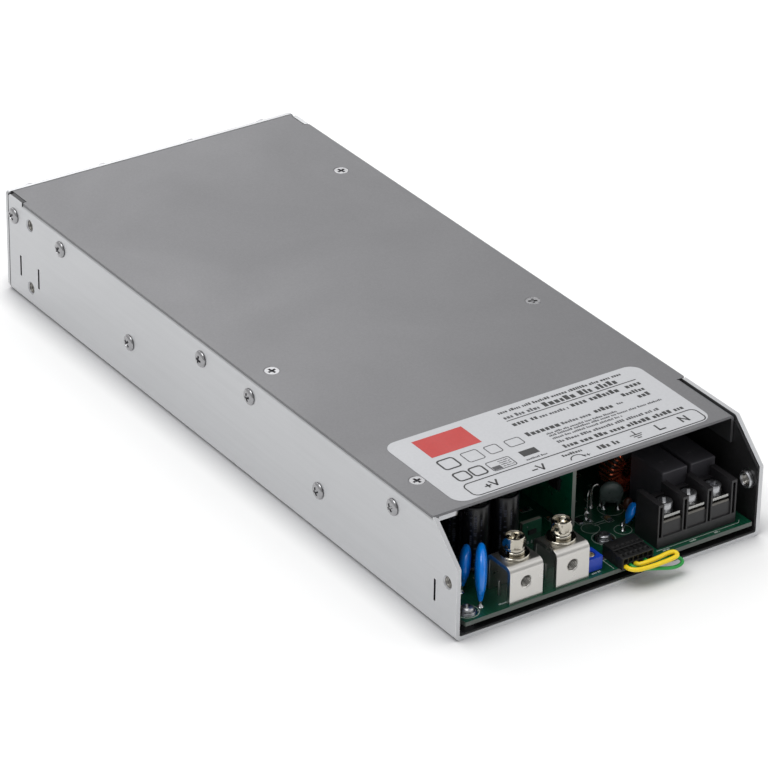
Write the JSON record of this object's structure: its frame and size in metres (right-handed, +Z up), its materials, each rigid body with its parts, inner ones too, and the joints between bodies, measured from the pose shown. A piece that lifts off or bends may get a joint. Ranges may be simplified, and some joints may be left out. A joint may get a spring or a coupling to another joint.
{
  "type": "industrial dc power supply",
  "caption": "Low flat enclosed switching power supply: folded sheet-metal case, open terminal bay at the front, axial fans behind a punched grille at the rear.",
  "frame": {"origin": "centre of the bottom face of the case", "axes": "+Z up out of the cover; -Y out of the terminal end; +Y out of the fan end; +X to the AC input side"},
  "size_m": [0.1296, 0.3051, 0.0411],
  "materials": {
    "case_sheet": "satin sheet metal",
    "cover_sheet": "satin sheet metal",
    "film": "thin black insulating film",
    "label_foil": "printed silver foil",
    "plated_steel": "zinc plated",
    "nickel": "bright nickel plating",
    "board": "green solder mask",
    "black_plastic": "moulded",
    "yellow_insulation": "wire insulation",
    "green_insulation": "wire insulation",
    "trimmer_blue": "moulded",
    "trimmer_white": "moulded",
    "blue_epoxy": "dipped coating",
    "dark_epoxy": "dipped coating",
    "can_sleeve": "shrink sleeve",
    "grey_plastic": "moulded box",
    "ferrite": "sintered",
    "copper": "enamelled wire",
    "tape": "winding tape",
    "bar": "extruded",
    "fan_plastic": "moulded"
  },
  "bodies": {
    "supply": {"chassis": "case_sheet", "cover": "cover_sheet", "rear_panel": "case_sheet", "insulation_film": "film", "label": "label_foil", "clinch_nuts": "plated_steel", "pcb_standoffs": "plated_steel", "side_screws": "plated_steel", "cover_screws": "plated_steel", "pcb_screws": "plated_steel", "fan_screws": "plated_steel", "main_pcb": "board", "control_board": "board", "sense_board": "board", "sense_pins": "nickel", "ac_terminal_block": "black_plastic", "ac_terminal_lugs": "nickel", "signal_header": "black_plastic", "signal_plug": "black_plastic", "jumper_wire_yellow": "yellow_insulation", "jumper_wire_green": "green_insulation", "trimmer_body": "trimmer_blue", "surge_disc_large": "blue_epoxy", "surge_disc_small": "blue_epoxy", "blue_capacitor": "blue_epoxy", "inrush_thermistor": "dark_epoxy", "output_capacitors": "can_sleeve", "bulk_capacitors": "can_sleeve", "film_capacitors": "grey_plastic", "line_fuse": "nickel", "filter_choke_core": "ferrite", "filter_choke_winding": "copper", "pfc_choke_core": "ferrite", "pfc_choke_winding": "copper", "output_choke": "copper", "transformer_core": "ferrite", "transformer_coil": "tape", "bridge_rectifier": "black_plastic", "power_transistors": "black_plastic", "heat_bar_left": "bar", "heat_bar_right": "bar", "output_bracket_positive": "nickel", "output_bracket_negative": "nickel", "fan_frame_left": "fan_plastic", "fan_frame_right": "fan_plastic"},
    "fan_left": {"fan_rotor_left": "fan_plastic"},
    "fan_right": {"fan_rotor_right": "fan_plastic"},
    "voltage_trim": {"trimmer_adjuster": "trimmer_white"},
    "output_positive_washers": {"output_washers_positive": "nickel"},
    "output_positive_screw": {"output_screw_positive": "nickel"},
    "output_negative_washers": {"output_washers_negative": "nickel"},
    "output_negative_screw": {"output_screw_negative": "nickel"},
    "ac_earth_clamp": {"ac_clamp_earth": "nickel"},
    "ac_earth_screw": {"ac_screw_earth": "nickel"},
    "ac_live_clamp": {"ac_clamp_live": "nickel"},
    "ac_live_screw": {"ac_screw_live": "nickel"},
    "ac_neutral_clamp": {"ac_clamp_neutral": "nickel"},
    "ac_neutral_screw": {"ac_screw_neutral": "nickel"}
  },
  "joints": [
    {"name": "fan_left_spin", "type": "hinge", "parent": "supply", "child": "fan_left", "pos_m": [-0.0365, 0.132, 0.0208], "axis": [0, 1, 0], "continuous": true},
    {"name": "fan_right_spin", "type": "hinge", "parent": "supply", "child": "fan_right", "pos_m": [0.0345, 0.132, 0.0208], "axis": [0, 1, 0], "continuous": true},
    {"name": "voltage_trim_turn", "type": "hinge", "parent": "supply", "child": "voltage_trim", "pos_m": [-0.0043, -0.1408, 0.0105], "axis": [0, 0, 1], "range_deg": [-130, 130]},
    {"name": "output_positive_washers_lift", "type": "slide", "parent": "supply", "child": "output_positive_washers", "axis": [0, 0, 1], "range_m": [0, 0.003]},
    {"name": "output_positive_screw_turn", "type": "hinge", "parent": "output_positive_washers", "child": "output_positive_screw", "pos_m": [-0.03405, -0.1385, 0.0233], "axis": [0, 0, 1], "range_deg": [0, 1545]},
    {"name": "output_negative_washers_lift", "type": "slide", "parent": "supply", "child": "output_negative_washers", "axis": [0, 0, 1], "range_m": [0, 0.003]},
    {"name": "output_negative_screw_turn", "type": "hinge", "parent": "output_negative_washers", "child": "output_negative_screw", "pos_m": [-0.015, -0.1385, 0.0233], "axis": [0, 0, 1], "range_deg": [0, 1545]},
    {"name": "ac_earth_clamp_lift", "type": "slide", "parent": "supply", "child": "ac_earth_clamp", "axis": [0, 0, 1], "range_m": [0, 0.003]},
    {"name": "ac_earth_screw_turn", "type": "hinge", "parent": "ac_earth_clamp", "child": "ac_earth_screw", "pos_m": [0.0282, -0.1387, 0.0171], "axis": [0, 0, 1], "range_deg": [0, 1545]},
    {"name": "ac_live_clamp_lift", "type": "slide", "parent": "supply", "child": "ac_live_clamp", "axis": [0, 0, 1], "range_m": [0, 0.003]},
    {"name": "ac_live_screw_turn", "type": "hinge", "parent": "ac_live_clamp", "child": "ac_live_screw", "pos_m": [0.0386, -0.1387, 0.0171], "axis": [0, 0, 1], "range_deg": [0, 1545]},
    {"name": "ac_neutral_clamp_lift", "type": "slide", "parent": "supply", "child": "ac_neutral_clamp", "axis": [0, 0, 1], "range_m": [0, 0.003]},
    {"name": "ac_neutral_screw_turn", "type": "hinge", "parent": "ac_neutral_clamp", "child": "ac_neutral_screw", "pos_m": [0.049, -0.1387, 0.0171], "axis": [0, 0, 1], "range_deg": [0, 1545]}
  ],
  "couplings": [
    {"joint": "output_positive_screw_turn", "follows": "output_positive_washers_lift", "rad_per_m": 8976},
    {"joint": "output_negative_screw_turn", "follows": "output_negative_washers_lift", "rad_per_m": 8976},
    {"joint": "ac_earth_screw_turn", "follows": "ac_earth_clamp_lift", "rad_per_m": 8976},
    {"joint": "ac_live_screw_turn", "follows": "ac_live_clamp_lift", "rad_per_m": 8976},
    {"joint": "ac_neutral_screw_turn", "follows": "ac_neutral_clamp_lift", "rad_per_m": 8976}
  ]
}
